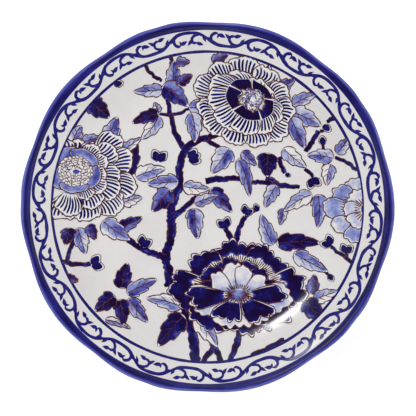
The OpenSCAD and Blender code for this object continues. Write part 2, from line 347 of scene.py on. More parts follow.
bandLook = {
    "roughness": 0.28,
    "specular": 0.2,
    "blotchScale": 42.0,
    "sway": 1.5,
    "hairDepth": 0.06 * mm,
    "tones": [(0.08, (0.17, 0.20, 0.48)), (0.34, (0.070, 0.080, 0.33)), (0.58, (0.029, 0.028, 0.22)),
              (0.82, (0.014, 0.011, 0.15)), (1.0, (0.006, 0.004, 0.065))],
}


def makeBand():
    # the lip's colour, drawn on with a broad brush while the platter turned
    material, tree, shader = newMaterial("blueBand", bandLook["roughness"], bandLook["specular"])
    place = objectPlace(tree)
    tone = readAttribute(tree, "tone")
    streak = addNoise(tree, readAttribute(tree, "brushed", "Vector"), 1.0, 4.0, 0.7)
    blotch = addNoise(tree, place, bandLook["blotchScale"], 3.0, 0.6)
    sway = addMath(tree, "MULTIPLY_ADD", streak, 0.65, addMath(tree, "MULTIPLY", blotch, 0.35))
    sway = addMath(tree, "SUBTRACT", sway, 0.5)
    value = addMath(tree, "MULTIPLY_ADD", sway, bandLook["sway"], tone)
    tree.links.new(addRamp(tree, value, bandLook["tones"]), shader.inputs["Base Color"])
    addBump(tree, shader, streak, bandLook["hairDepth"])
    return material


def makeClay(name, dark, light, bumpDepth):
    material, tree, shader = newMaterial(name, 0.85)
    place = objectPlace(tree)
    grain = addNoise(tree, place, 1400.0, 4.0, 0.7)
    patch = addNoise(tree, place, 60.0, 3.0, 0.6)
    mixed = addMath(tree, "MULTIPLY_ADD", grain, 0.5, addMath(tree, "MULTIPLY", patch, 0.5))
    tree.links.new(addRamp(tree, mixed, [(0.35, dark), (0.65, light)]), shader.inputs["Base Color"])
    addBump(tree, shader, grain, bumpDepth)
    return material


whiteGlaze = makeGlaze()
cobaltWash = makeCobalt()
sepiaLine = makeSepia()
brushBlue = makeBrushBlue()
blueBand = makeBand()
firedClay = makeClay("firedClay", (0.60, 0.50, 0.36), (0.76, 0.66, 0.50), 0.10 * mm)
bareFoot = makeClay("bareFoot", (0.50, 0.38, 0.25), (0.70, 0.57, 0.41), 0.16 * mm)
print("materials made")


# the clay and the glaze coats are closed turned shells
def turnedShell(name, section, material, slot, nodes):
    # section is a closed loop of (radius, height); the first and last points may stand on the axis
    bm = bmesh.new()
    rim = [bm.verts.new((radius * mm, 0, height * mm)) for radius, height in section]
    onAxis = section[0][0] < 1e-6 and section[-1][0] < 1e-6
    pairs = zip(rim, rim[1:] if onAxis else rim[1:] + rim[:1])
    edges = [bm.edges.new(pair) for pair in pairs]
    bmesh.ops.spin(bm, geom=rim + edges, cent=(0, 0, 0), axis=(0, 0, 1), angle=math.tau,
                   steps=platter["steps"], use_merge=True)
    bmesh.ops.remove_doubles(bm, verts=bm.verts[:], dist=0.001 * mm)
    for v in bm.verts:
        radius = math.hypot(v.co.x, v.co.y) / mm
        if radius > platter["rimRadius"] - platter["lobeWidth"]:
            turn = math.degrees(math.atan2(v.co.y, v.co.x))
            v.co = lobed(radius, v.co.z / mm, turn)
    bmesh.ops.recalc_face_normals(bm, faces=bm.faces[:])
    smoothFaces(bm)
    meshPiece(bm, name, [material], slot, nodes)


def smoothFaces(bm):
    # smooth shading, with a crisp edge wherever the faces turn sharply
    for face in bm.faces:
        face.smooth = True
    for edge in bm.edges:
        edge.smooth = edge.calc_face_angle(0.0) < platter["sharpTurn"]


def meshPiece(bm, name, materials, slot, nodes):
    mesh = bpy.data.meshes.new(name)
    bm.to_mesh(mesh)
    bm.free()
    for material in materials:
        mesh.materials.append(material)
    piece = bpy.data.objects.new(name, mesh)
    scene.collection.objects.link(piece)
    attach(piece, "root")
    if nodes:
        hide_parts(*nodes)
    return piece


def rowOfStations(first, last, count, out):
    row = []
    for k in range(count + 1):
        point = sectionPoint(mix(first, last, k / count), out)
        row.append((max(point.x, 0.0), point.y))
    return row


def onAxisRow(row):
    row[0] = (0.0, row[0][1])
    return row


def buildBody():
    glaze = platter["glaze"]
    face = onAxisRow(rowOfStations(-1, 0, 8, 0.0)) + rowOfStations(0, 1, 40, 0.0)[1:]
    lip = rowOfStations(1, 1.5, 8, 0.0)[1:]
    under = rowOfStations(1.5, 2, 8, 0.0)
    back = rowOfStations(2, 3, 30, 0.0)[1:]
    innerFace = onAxisRow(rowOfStations(-1, 0, 8, -glaze)) + rowOfStations(0, 1, 40, -glaze)[1:]
    innerLip = rowOfStations(1, 1.5, 8, -glaze)[1:]
    innerUnder = rowOfStations(1.5, 2, 8, -glaze)
    innerBack = rowOfStations(2, 3, 30, -glaze)[1:]
    floor = onAxisRow(rowOfStations(4, 3, 4, -glaze))
    turnedShell("glazedFace", face + lip + (innerFace + innerLip)[::-1],
                whiteGlaze, "white_glaze", ["face_glaze"])
    turnedShell("clayBody", innerFace + innerLip + innerUnder[1:] + innerBack + floor[::-1][1:],
                firedClay, "fired_clay", ["clay_body"])
    footTop = platter["footHollow"]
    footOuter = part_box("foot_ring")[1][0] / mm
    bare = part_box("back_glaze")[0][2] / mm
    roll = [(footOuter + glaze * math.sin(math.radians(a)), bare + glaze - glaze * math.cos(math.radians(a)))
            for a in range(0, 91, 15)]
    outside = under + back
    inside = (innerUnder + innerBack)[::-1]
    turnedShell("glazedBack",
                outside + [(footOuter + glaze, footTop)] + roll[::-1]
                + [(footOuter, footTop + glaze)] + inside,
                whiteGlaze, "white_glaze", ["back_glaze"])


buildBody()
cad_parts["foot_glaze"].data.materials.clear()
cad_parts["foot_glaze"].data.materials.append(whiteGlaze)
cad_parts["foot_ring"].data.materials.clear()
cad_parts["foot_ring"].data.materials.append(bareFoot)
print("clay and glaze turned")


# the band over the lip
band = {
    "width": 8.9,
    "lineWidth": 3.2,
    "wrap": 0.9,          # how far it goes round the lip
    "faces": 44,          # across, for each station
    "streaks": 14.4,      # brush hairs across the band
    "streakLength": 5.0,
    "wander": 0.018,      # of the tones across the band
    "wanderScale": 4.0,
    # share of the way from the band's inner edge to where it ends under the lip, and the tone there
    "tones": [(0.0, 0.66), (0.010, 0.84), (0.03, 0.96), (0.08, 0.92), (0.13, 0.74), (0.20, 0.54),
              (0.32, 0.34), (0.50, 0.30), (0.75, 0.48), (1.0, 0.60)],
}


def stationAt(radius):
    low, high = 0.0, 1.0
    for k in range(30):
        middle = (low + high) / 2
        if sectionPoint(middle, 0).x < radius:
            low = middle
        else:
            high = middle
    return low


def bandTone(across):
    marks = band["tones"]
    for (a, toneA), (b, toneB) in zip(marks, marks[1:]):
        if across <= b:
            return mix(toneA, toneB, smoothStep((across - a) / (b - a)))
    return marks[-1][1]


def buildBand():
    start = stationAt(platter["rimRadius"] - band["width"])
    split = stationAt(platter["rimRadius"] - band["width"] + band["lineWidth"])
    end = 1 + band["wrap"]
    for name, first, last, slot, node in (
            ("rimLine", start, split, "dark_blue", "rim_line"),
            ("rimBand", split, end, "blue_band", "rim_band")):
        brushedRing(name, first, last, (start, end), slot, node)


def brushedRing(name, first, last, whole, slot, node):
    count = max(6, int((last - first) * band["faces"]))
    bm = bmesh.new()
    stationOf = bm.verts.layers.float.new("station")
    rows = []
    for out in (platter["paint"], 0.0):
        row = []
        for k in range(count + 1):
            station = mix(first, last, k / count)
            point = sectionPoint(station, out)
            v = bm.verts.new((point.x * mm, 0, point.y * mm))
            v[stationOf] = station
            row.append(v)
        rows.append(row)
    loop = rows[0] + rows[1][::-1]
    edges = [bm.edges.new(pair) for pair in zip(loop, loop[1:] + loop[:1])]
    bmesh.ops.spin(bm, geom=loop + edges, cent=(0, 0, 0), axis=(0, 0, 1), angle=math.tau,
                   steps=platter["steps"], use_merge=True)
    bmesh.ops.recalc_face_normals(bm, faces=bm.faces[:])
    toneOf = bm.verts.layers.float.new("tone")
    brushOf = bm.verts.layers.float_vector.new("brushed")
    for v in bm.verts:
        turn = math.atan2(v.co.y, v.co.x)
        radius = math.hypot(v.co.x, v.co.y) / mm
        station = v[stationOf]
        across = (station - whole[0]) / (whole[1] - whole[0])
        scale = band["wanderScale"]
        wander = noise.noise(Vector((math.cos(turn) * scale, math.sin(turn) * scale, 1.7)))
        v[toneOf] = bandTone(across + band["wander"] * wander)
        v[brushOf] = (math.cos(turn) * band["streakLength"], math.sin(turn) * band["streakLength"],
                      station * band["streaks"])
        v.co = lobed(radius, v.co.z / mm, math.degrees(turn))
    smoothFaces(bm)
    meshPiece(bm, name, [blueBand], slot, [node])


buildBand()
print("band brushed on")


# strokes and washes are laid flat and then draped on the face; these are their sizes
ink = {
    "step": 0.007,         # each coat lies this much above the one before, mm
    "rest": 0.02,          # the first coat's top above the glaze, mm
    "film": 0.03,          # thickness of a coat, mm
    "wellMesh": 2.4,       # length of a coat's faces in the flat well, mm
    "rimMesh": 1.2,        # and where the platter curves
    "curveStarts": 97.0,
    "curveMesh": 0.95,
    "outlineWidth": 0.98,
    "pictureEdge": 133.2,  # the picture is cut off under the line round it
}
washPaint, sepiaPaint, brushPaint = 0, 1, 2


def newDrawing(level):
    bm = bmesh.new()
    return {"bm": bm, "tone": bm.verts.layers.float.new("tone"), "level": level}


def layGrid(drawing, along, across, place, tone, paint):
    # place(u, w) gives the spot on the platter, u from 0 to 1 along and w from -1 to 1 across
    bm = drawing["bm"]
    made = bmesh.ops.create_grid(bm, x_segments=along, y_segments=across, size=1.0)["verts"]
    lift = ink["rest"] + drawing["level"] * ink["step"]
    for v in made:
        u = (v.co.x + 1) / 2
        w = v.co.y
        spot = place(u, w)
        v[drawing["tone"]] = tone(u, w)
        v.co = (spot.x, spot.y, lift)
    for face in {face for v in made for face in v.link_faces}:
        face.material_index = paint


def facesAlong(points):
    # how many faces a line on the platter needs, with short ones where it curves
    length = sum((b - a).length for a, b in zip(points, points[1:]))
    curved = max(p.length for p in points) > ink["curveStarts"]
    return max(2, math.ceil(length / (ink["rimMesh"] if curved else ink["wellMesh"])))


def layWash(drawing, place, tone, across):
    # a patch of colour whose faces suit its size; a tone of 0 is bare glaze
    along = facesAlong([place(k / 6, 0) for k in range(7)])
    across = max(across, facesAlong([place(0.8, k / 4 - 1) for k in range(9)]))
    layGrid(drawing, along, across, place, tone if callable(tone) else lambda u, w: tone, washPaint)


def smoothPath(points, pieces=6):
    # a curve through the points
    points = [Vector(p) for p in points]
    ends = [points[0] * 2 - points[1]] + points + [points[-1] * 2 - points[-2]]
    path = []
    for a, b, c, d in zip(ends, ends[1:], ends[2:], ends[3:]):
        for k in range(pieces):
            t = k / pieces
            path.append(0.5 * (2 * b + (c - a) * t + (2 * a - 5 * b + 4 * c - d) * t ** 2
                               + (3 * b - a - 3 * c + d) * t ** 3))
    path.append(points[-1])
    return path


def curveThrough(points):
    # the same curve, read by the share of its length, and its length
    path = smoothPath(points, 8)
    runs = [0.0]
    for a, b in zip(path, path[1:]):
        runs.append(runs[-1] + (b - a).length)

    def at(t):
        goal = max(0.0, min(1.0, t)) * runs[-1]
        k = max(1, min(len(path) - 1, bisect.bisect_left(runs, goal)))
        return mix(path[k - 1], path[k], (goal - runs[k - 1]) / max(runs[k] - runs[k - 1], 1e-6))

    return at, runs[-1]


def acrossPath(path):
    sides = []
    for k in range(len(path)):
        ahead = path[min(k + 1, len(path) - 1)] - path[max(k - 1, 0)]
        ahead = ahead.normalized() if ahead.length > 1e-9 else Vector((1, 0))
        sides.append(Vector((-ahead.y, ahead.x)))
    return sides


def stroke(drawing, path, width, tone, paint, start, end, wobble=0.12):
    # a brush stroke that swells over its first part and thins out over its last
    count = len(path) - 1
    sides = acrossPath(path)

    def halfAt(u):
        swell = min(1.0, 0.35 + 0.65 * u / start)
        fade = min(1.0, 0.12 + 0.88 * (1 - u) / end)
        return width / 2 * swell * fade

    def place(u, w):
        k = round(u * count)
        spot = path[k]
        shake = 1 + wobble * noise.noise(Vector((spot.x * 0.35, spot.y * 0.35, 3.1)))
        return spot + sides[k] * (w * halfAt(u) * shake)

    layGrid(drawing, count, 1, place, lambda u, w: tone, paint)


def sepia(drawing, path, width=None):
    stroke(drawing, path, width or ink["outlineWidth"], 0.5, sepiaPaint, 0.05, 0.05, 0.5)


def lineThrough(place, start, end, count):
    # points of a form along a line from one (u, w) to another
    return [place(mix(start[0], end[0], k / count), mix(start[1], end[1], k / count))
            for k in range(count + 1)]


def outline(drawing, place, across, width=None):
    side = facesAlong([place(k / 6, 1) for k in range(7)])
    path = lineThrough(place, (0.03, -1), (1, -1), side)
    path += lineThrough(place, (1, -1), (1, 1), across)[1:]
    path += lineThrough(place, (1, 1), (0.03, 1), side)[1:]
    sepia(drawing, path, width)


def finishDrawing(drawing, name, slot, nodes, edge=None):
    bm = drawing["bm"]
    if edge:
        for face in bm.faces[:]:
            if min(math.hypot(v.co.x, v.co.y) for v in face.verts) > edge:
                bm.faces.remove(face)
        for v in bm.verts[:]:
            if not v.link_faces:
                bm.verts.remove(v)
        for v in bm.verts:
            radius = math.hypot(v.co.x, v.co.y)
            if radius > edge:
                v.co.x *= edge / radius
                v.co.y *= edge / radius
    bmesh.ops.dissolve_degenerate(bm, edges=bm.edges[:], dist=0.002)
    for k in range(2):
        # shorter faces where the platter curves, so no coat cuts into the one above it
        long = [e for e in bm.edges if e.calc_length() > ink["curveMesh"]
                and max(math.hypot(v.co.x, v.co.y) for v in e.verts) > ink["curveStarts"]]
        bmesh.ops.subdivide_edges(bm, edges=long, cuts=1, use_grid_fill=True)
    for v in bm.verts:
        radius = math.hypot(v.co.x, v.co.y)
        v.co = (v.co.x * mm, v.co.y * mm, (faceHeight(radius) + v.co.z) * mm)
    bm.normal_update()
    for face in bm.faces:
        if face.normal.z < 0:
            face.normal_flip()
    bm.normal_update()
    bmesh.ops.solidify(bm, geom=bm.faces[:], thickness=ink["film"] * mm)
    smoothFaces(bm)
    piece = meshPiece(bm, name, [cobaltWash, sepiaLine, brushBlue], slot, nodes)
    print(name, "drawn,", len(piece.data.polygons), "faces")


# the line round the picture
wellLine = {"radius": 133.6, "width": 2.3, "wander": 0.2, "steps": 420, "tone": 0.78}


def buildWellLine():
    drawing = newDrawing(0)

    def place(u, w):
        turn = u * 360
        ring = Vector((math.cos(u * math.tau) * 3, math.sin(u * math.tau) * 3, 0.4))
        radius = wellLine["radius"] + wellLine["wander"] * noise.noise(ring)
        half = wellLine["width"] / 2 * (1 + 0.2 * noise.noise(ring * 3))
        return polar(radius + w * half, turn)

    layGrid(drawing, wellLine["steps"], 2, place, lambda u, w: wellLine["tone"], brushPaint)
    bmesh.ops.remove_doubles(drawing["bm"], verts=drawing["bm"].verts[:], dist=0.001)
    finishDrawing(drawing, "wellLine", "dark_blue", ["well_line"])


buildWellLine()


border = {
    "waves": 14,
    "stepsPerWave": 30,
    "inner": 136.2,
    "outer": 152.0,
    "stemWidth": 2.6,
    "swing": 5.3,
    "hookWidth": 2.5,
    "tone": 0.70,
}


def borderSpot(wave, x, y, outward):
    # x is mm along a half wave from the stem's crossing, y mm away from the stem's hollow
    middle = (border["inner"] + border["outer"]) / 2
    pitch = math.tau * middle / border["waves"]
    turn = -(wave + x / pitch) * 360 / border["waves"]
    return polar(middle + y * outward, turn)


def leaflet(drawing, root, tip, width, tone):
    root, tip = Vector(root), Vector(tip)
    along = tip - root
    side = Vector((-along.y, along.x)).normalized()

    def place(u, w):
        return root + along * u + side * (w * width / 2 * math.sin(math.pi * min(1, u ** 0.8 + 0.02)))

    layGrid(drawing, 6, 2, place, lambda u, w: tone, brushPaint)


def buildBorder():
    random.seed(41)
    drawing = newDrawing(0)
    middle = (border["inner"] + border["outer"]) / 2
    steps = border["waves"] * border["stepsPerWave"]

    def stem(u, w):
        phase = u * math.tau
        lean = 0.22 * math.sin(2 * border["waves"] * phase)
        ring = Vector((math.cos(phase) * 5, math.sin(phase) * 5, 2.0))
        radius = middle + border["swing"] * math.sin(border["waves"] * phase + lean)
        radius += 0.35 * noise.noise(ring)
        width = border["stemWidth"] * (1 + 0.25 * noise.noise(ring * 4))
        slant = math.hypot(1, border["swing"] * border["waves"] / middle
                           * math.cos(border["waves"] * phase))
        return polar(radius + w * width / 2 * slant, -math.degrees(phase))

    tone = border["tone"]
    layGrid(drawing, steps, 2, stem, lambda u, w: tone, brushPaint)
    bmesh.ops.remove_doubles(drawing["bm"], verts=drawing["bm"].verts[:], dist=0.001)
    for k in range(2 * border["waves"]):
        outward = 1 if k % 2 else -1

        def spot(x, y):
            jog = random.uniform(-0.3, 0.3)
            return borderSpot(k / 2, x + jog, y + jog * 0.6, outward)

        wide = border["hookWidth"] * random.uniform(0.9, 1.12)
        drawing["level"] = 1
        # the large hook: off the stem, back over it and round to a pod in the hollow
        hook = smoothPath([spot(11.0, -4.8), spot(6.6, -3.8), spot(3.6, -1.2), spot(3.8, 2.6),
                           spot(7.0, 4.6), spot(10.0, 3.2)], 6)
        stroke(drawing, hook, wide, tone, brushPaint, 0.15, 0.22)
        drawing["level"] = 2
        leaflet(drawing, spot(9.0, 3.8), spot(15.6, 1.4), 3.3, tone)
        leaflet(drawing, spot(5.2, -2.0), spot(-1.8, 1.4), 2.9, tone)
        leaflet(drawing, spot(10.2, 4.2), spot(8.0, 0.4), 2.3, tone)
        drawing["level"] = 1
        # the forked hook at the other end of the hollow
        fork = smoothPath([spot(27.0, -3.2), spot(23.0, -3.2), spot(19.6, -1.2), spot(19.0, 1.8),
                           spot(21.6, 3.4), spot(24.2, 2.6)], 6)
        stroke(drawing, fork, wide * 0.92, tone, brushPaint, 0.15, 0.22)
        drawing["level"] = 2
        leaflet(drawing, spot(22.4, 3.0), spot(29.0, 4.9), 3.2, tone)
        leaflet(drawing, spot(20.0, 0.2), spot(14.6, 5.0), 2.9, tone)
        leaflet(drawing, spot(28.2, -2.2), spot(31.6, 3.0), 2.4, tone)
    finishDrawing(drawing, "borderScroll", "dark_blue", ["border_vine", "border_curls"])


buildBorder()


leafForm = {"teeth": 3, "toothDepth": 0.27, "bend": 14.0, "faces": 24}
leafTones = {"pale": 0.28, "light": 0.43, "mid": 0.57, "deep": 0.74, "dark": 0.93}


def leafPlace(root, tip, width, bend):
    along = tip - root
    length = along.length
    turn = math.degrees(math.atan2(along.y, along.x))

    def place(u, w):
        sway = math.radians(turn + bend * (u - 0.5))
        ahead = Vector((math.cos(sway), math.sin(sway)))
        # the edge swells towards each tooth and drops behind it
        tooth = leafForm["toothDepth"] * (1 - (u * leafForm["teeth"]) % 1.0) * smoothStep((u - 0.2) / 0.2)
        half = 0.0
        if 0 < u < 1:
            half = width / 2 * (math.sin(math.pi * u ** 0.74) ** 0.75) * (1.12 - 0.25 * u) * (1 - tooth)
        return root + ahead * (u * length) + Vector((-ahead.y, ahead.x)) * (w * half)

    return place


def drawLeaf(drawing, x0, y0, x1, y1, width, toneName):
    place = leafPlace(Vector((x0, y0)), Vector((x1, y1)), width,
                      random.uniform(-1, 1) * leafForm["bend"])
    tone = leafTones[toneName]
    darkSide = random.choice((-1, 1))
    inset = 0.94 if toneName in ("dark", "deep") else 0.86

    def wash(u, w):
        split = 0.13 * darkSide * (1 if w > 0 else -1) * min(1, abs(w) * 3)
        patch = 0.22 * noise.noise(Vector((x0 + u * 2.5, y0 + w * 1.2, 4.0)))
        return tone + (split * 0.4 if toneName == "dark" else split) + patch - 0.12 * abs(w) ** 3

    faces = leafForm["faces"]
    # bare glaze first, so the leaf hides what it grows over
    layGrid(drawing, faces, max(6, facesAlong([place(0.4, -1), place(0.4, 1)])), place,
            lambda u, w: 0.0, washPaint)
    drawing["level"] += 1
    layGrid(drawing, faces, max(8, facesAlong([place(0.4, -1), place(0.4, 1)])),
            lambda u, w: place(0.04 + 0.9 * u, w * inset), wash, washPaint)
    drawing["level"] += 1
    for side in (-1, 1):
        sepia(drawing, [place(k / 30, side) for k in range(31)])
    fine = 0.6 if toneName == "dark" else 1.0
    sepia(drawing, lineThrough(place, (0, 0), (0.9, 0), 14), 0.85 * fine)
    for side in (-1, 1):
        for k in range(2):
            at = 0.26 + 0.24 * k + 0.05 * side
            vein = [place(at, 0), place(at + 0.09, side * 0.3), place(at + 0.2, side * 0.66)]
            sepia(drawing, smoothPath(vein, 3), 0.62 * fine)


leaves = [
    # up the trunk's top
    (-29, 105, -30, 126, 14, "mid"), (-38, 102, -64, 99, 12, "light"), (-39, 105, -15, 90, 18, "deep"),
    (-25, 107, -13, 115, 10, "deep"), (-42, 81, -66, 75, 12, "dark"), (-42, 79, -55, 57, 14, "pale"),
    (-42, 82, -46, 91, 8, "pale"), (-16, 86, 13, 85, 15, "mid"), (-14, 82, -8, 56, 15, "light"),
    (-27, 126, -15, 124, 9, "mid"),
    # between the flowers on the left
    (-101, 91, -85, 77, 18, "dark"), (-86, 51, -81, 79, 18, "mid"), (-116, 56, -110, 71, 13, "light"),
    (-108, 56, -90, 61, 11, "mid"), (-74, 49, -57, 60, 10, "pale"),
    (-73, 28, -61, 57, 20, "dark"), (-62, 26, -37, 36, 15, "pale"), (4, 125, 18, 132, 10, "deep"),
    # along the trunk
    (-25, 22, -52, 20, 15, "light"), (-32, 15, -48, -4, 18, "deep"), (-21, 18, 2, 14, 13, "pale"),
    (3, 16, 21, -5, 15, "deep"), (-11, 3, 9, 11, 11, "light"), (-11, -1, -10, -28, 16, "mid"),
    (-74, 3, -57, 10, 12, "pale"), (-77, -19, -56, -9, 12, "deep"), (-91, -12, -68, -30, 18, "light"),
    # under the left flower and below it
    (-112, -18, -106, -41, 15, "light"), (-120, -18, -121, -33, 13, "dark"),
    (-104, -16, -96, -28, 11, "deep"),
    (-74, -71, -71, -48, 16, "dark"), (-70, -75, -44, -62, 14, "mid"), (-68, -79, -53, -101, 14, "mid"),
    (-76, -80, -71, -102, 14, "dark"), (-80, -77, -97, -89, 16, "dark"), (-88, -97, -65, -103, 7, "pale"),
    (-22, -87, -52, -76, 15, "pale"), (-20, -94, -44, -119, 20, "dark"), (-11, -96, 11, -119, 17, "pale"),
    (-122, -61, -111, -64, 9, "deep"),
    # right of the upper flower
    (50, 108, 53, 122, 12, "pale"), (60, 103, 76, 108, 12, "mid"), (74, 88, 93, 99, 13, "light"),
    (73, 83, 99, 71, 17, "light"), (72, 78, 85, 51, 16, "mid"), (66, 51, 85, 33, 14, "pale"),
    (53, 47, 51, 26, 19, "dark"), (19, 51, 4, 29, 19, "light"), (27, 42, 40, 10, 13, "mid"),
    (30, 48, 43, 36, 10, "mid"),
    # at the right
    (109, 42, 87, 47, 14, "light"), (107, 37, 102, 19, 13, "pale"), (112, 46, 123, 60, 11, "light"),
    (60, 19, 49, 0, 13, "light"), (91, 11, 65, -1, 14, "pale"), (96, 11, 99, -18, 15, "mid"),
    (66, -1, 64, -16, 9, "light"), (119, -16, 128, -27, 11, "light"),
    # round the lower flower
    (57, -33, 45, -7, 15, "light"), (60, -32, 98, -28, 16, "dark"), (75, -40, 104, -57, 15, "light"),
    (89, -75, 95, -59, 12, "deep"), (92, -80, 113, -72, 12, "pale"), (85, -80, 98, -99, 18, "dark"),
]


def buildLeaves():
    # two pieces, so that neither has too many faces
    random.seed(7)
    for name, first, last, nodes in (("leftLeaves", 0, 37, ["picture_leaves"]),
                                     ("rightLeaves", 37, len(leaves), [])):
        drawing = newDrawing(0)
        for k in range(first, last):
            drawing["level"] = 14 + 3 * (k % 5)
            drawLeaf(drawing, *leaves[k])
        finishDrawing(drawing, name, "leaf_blue", nodes, ink["pictureEdge"])


buildLeaves()


branches = [
    # width at the start, at the end, and the way it grows
    (8.0, 6.0, [(-10, -134), (-12, -116), (-15, -102), (-21, -90)]),
    (4.0, 5.0, [(-20, -93), (-22, -84), (-27, -73), (-33, -68)]),
    (7.0, 6.0, [(-33, -70), (-34, -56), (-36, -42), (-32, -27), (-30, -14)]),
    (7.0, 5.5, [(-32, -30), (-31, -12), (-31, 0), (-28, 8), (-24, 20), (-24, 36), (-19, 51)]),
    (4.5, 2.6, [(-19, 49), (-27, 63), (-31, 76), (-34, 90), (-35, 100)]),
    (2.6, 2.0, [(-32, 80), (-25, 81), (-15, 86)]), (2.4, 2.0, [(-32, 79), (-42, 81)]),
    (6.0, 4.0, [(-21, 48), (-12, 56), (0, 60), (9, 63)]),
    (3.5, 3.0, [(-2, 60), (6, 54), (14, 50)]),
    (3.0, 2.4, [(-54, 122), (-47, 114), (-39, 109)]), (3.2, 2.4, [(-32, 131), (-31, 122)]),
    (5.0, 3.0, [(-1, 22), (12, 24), (24, 25), (38, 22), (52, 21)]),
    (4.5, 3.0, [(50, 22), (62, 19), (80, 17)]), (3.4, 2.6, [(52, 27), (58, 22), (66, 18)]),
    (5.0, 3.0, [(-31, -10), (-24, -4), (-15, 3), (-10, 10)]),
    (5.5, 4.5, [(-37, -44), (-46, -41), (-57, -36), (-70, -27)]),
    (3.6, 3.2, [(-126, -47), (-116, -49), (-101, -50)]), (3.2, 2.6, [(-121, -48), (-119, -38), (-115, -28)]),
    (4.5, 3.4, [(23, -33), (19, -24), (15, -18)]), (4.5, 3.6, [(24, -31), (28, -18), (33, -8)]),
    (3.0, 2.4, [(127, -50), (117, -42), (106, -33)]), (2.6, 2.2, [(120, -45), (120, -38)]),
    (3.6, 2.8, [(109, 77), (103, 73)]), (3.6, 3.6, [(97, 66), (91, 57), (85, 48)]),
    (2.8, 2.2, [(129, 31), (120, 39), (111, 43)]), (2.6, 2.0, [(84, 33), (90, 29), (92, 25)]),
    (3.0, 3.6, [(62, 44), (64, 36), (68, 29)]), (2.2, 2.0, [(-86, 112), (-80, 108), (-76, 106)]),
    (2.4, 2.0, [(33, -8), (37, -5), (42, -3)]), (2.0, 1.8, [(97, -48), (102, -55), (106, -60)]),
    (2.2, 2.0, [(98, 66), (101, 66), (104, 69)]), (2.0, 2.0, [(106, 43), (101, 49), (100, 56)]),
    (5.0, 4.4, [(29, -104), (26, -116), (19, -134)]), (4.0, 4.6, [(3, -116), (8, -124), (12, -134)]),
    (4.0, 4.0, [(6, -120), (0, -128), (-4, -134)]), (3.0, 3.0, [(38, -128), (52, -121), (66, -114)]),
]
branchForm = {"roughness": 0.5, "grain": 0.45, "gnarl": 1.3, "gnarlGrain": 0.2, "levelStep": 0.4}


def drawBranch(drawing, startWidth, endWidth, points):
    path = smoothPath(points, 7)
    # a gnarled line: pushed about a little along its way
    grain = branchForm["gnarlGrain"]
    path = [p + Vector((noise.noise(Vector((p.x * grain, p.y * grain, 5))),
                        noise.noise(Vector((p.x * grain, p.y * grain, 9))))) * branchForm["gnarl"]
            for p in path]
    count = len(path) - 1
    sides = acrossPath(path)

    def half(u, w):
        spot = path[round(u * count)]
        rough = noise.noise(Vector((spot.x * branchForm["grain"], spot.y * branchForm["grain"], 7 * w)))
        return mix(startWidth, endWidth, u) / 2 * (1 + branchForm["roughness"] * rough)

    def place(u, w):
        k = round(u * count)
        return path[k] + sides[k] * (w * half(u, 1 if w > 0 else -1))

    def tone(u, w):
        spot = path[round(u * count)]
        patch = noise.noise(Vector((spot.x * 0.12, spot.y * 0.12, 2 + w)))
        return 0.95 - 0.10 * abs(w) + 0.28 * patch

    layGrid(drawing, count, 4, place, tone, washPaint)
    drawing["level"] += 1
    for side in (-1, 1):
        sepia(drawing, [place(k / count, side * 1.05) for k in range(count + 1)], 0.7)
    drawing["level"] -= 1


buds = [
    # x, y, direction, size, petals
    (-42, 43, 80, 9, 2), (-13, 43, 20, 9, 3), (-97, -49, 20, 9, 2), (15, -15, 110, 8, 2),
    (34, -4, 60, 7, 2), (105, -31, 140, 8, 2), (120, -37, 80, 7, 2), (92, 22, -70, 8, 2),
    (100, 56, 100, 7, 1), (-78, 106, 10, 7, 1), (-55, -31, 60, 8, 2), (43, -2, 110, 6, 1),
    (106, -60, -60, 6, 1), (102, 69, -40, 7, 1), (69, 28, -20, 4, 1),
]


budForm = {"length": 1.2, "halfWidth": 0.40, "spread": 33, "washShare": 0.86, "tone": 0.90, "line": 0.85}


def drawBud(drawing, x, y, turn, size, petals):
    root = Vector((x, y)) - polar(size * 0.35, turn)
    size *= budForm["length"]
    for k in range(petals):
        lean = turn + budForm["spread"] * (2 * k / (petals - 1) - 1) if petals > 1 else turn
        for grown, tone in ((1.0, 0.0), (budForm["washShare"], budForm["tone"])):
            place = fanPlace(root, lean, size * grown, size * budForm["halfWidth"] * grown)
            layGrid(drawing, 6, 6, place, lambda u, w: tone, washPaint)
            if grown == 1.0:
                outline(drawing, place, 10, budForm["line"])
            drawing["level"] += 1
        drawing["level"] -= 1.5


def fanPlace(root, turn, length, half):
    # a small fan: narrow at its root, round at its tip
    ahead = polar(1, turn)
    side = Vector((-ahead.y, ahead.x))

    def place(u, w):
        far = length * u * mix(1, 1 - 0.5 * w * w, u)
        wide = half * (0.5 + 0.5 * math.sin(math.pi / 2 * u ** 0.8))
        return root + ahead * far + side * (w * wide)

    return place


def buildBranches():
    random.seed(11)
    drawing = newDrawing(0)
    for k, branch in enumerate(branches):
        drawing["level"] = k * branchForm["levelStep"]
        drawBranch(drawing, *branch)
    for bud in buds:
        drawing["level"] = 14
        drawBud(drawing, *bud)
    finishDrawing(drawing, "branches", "dark_blue", ["picture_branches"], ink["pictureEdge"])


buildBranches()


flower = {
    "level": 32,         # the first coat, over the leaves and branches
    "combPitch": 4.0,    # mm from stroke to stroke at a petal's edge
    "combFill": 0.50,    # share of it under the stroke
    "combMargin": 2.1,   # bare glaze outside the strokes
    "washMargin": 1.5,   # and outside a wash
    "hatchPitch": 1.7,   # mm from one fine brown line to the next
    "hatchWidth": 0.95,
    "curlSize": 2.0,     # radius of a curl in the heart
}


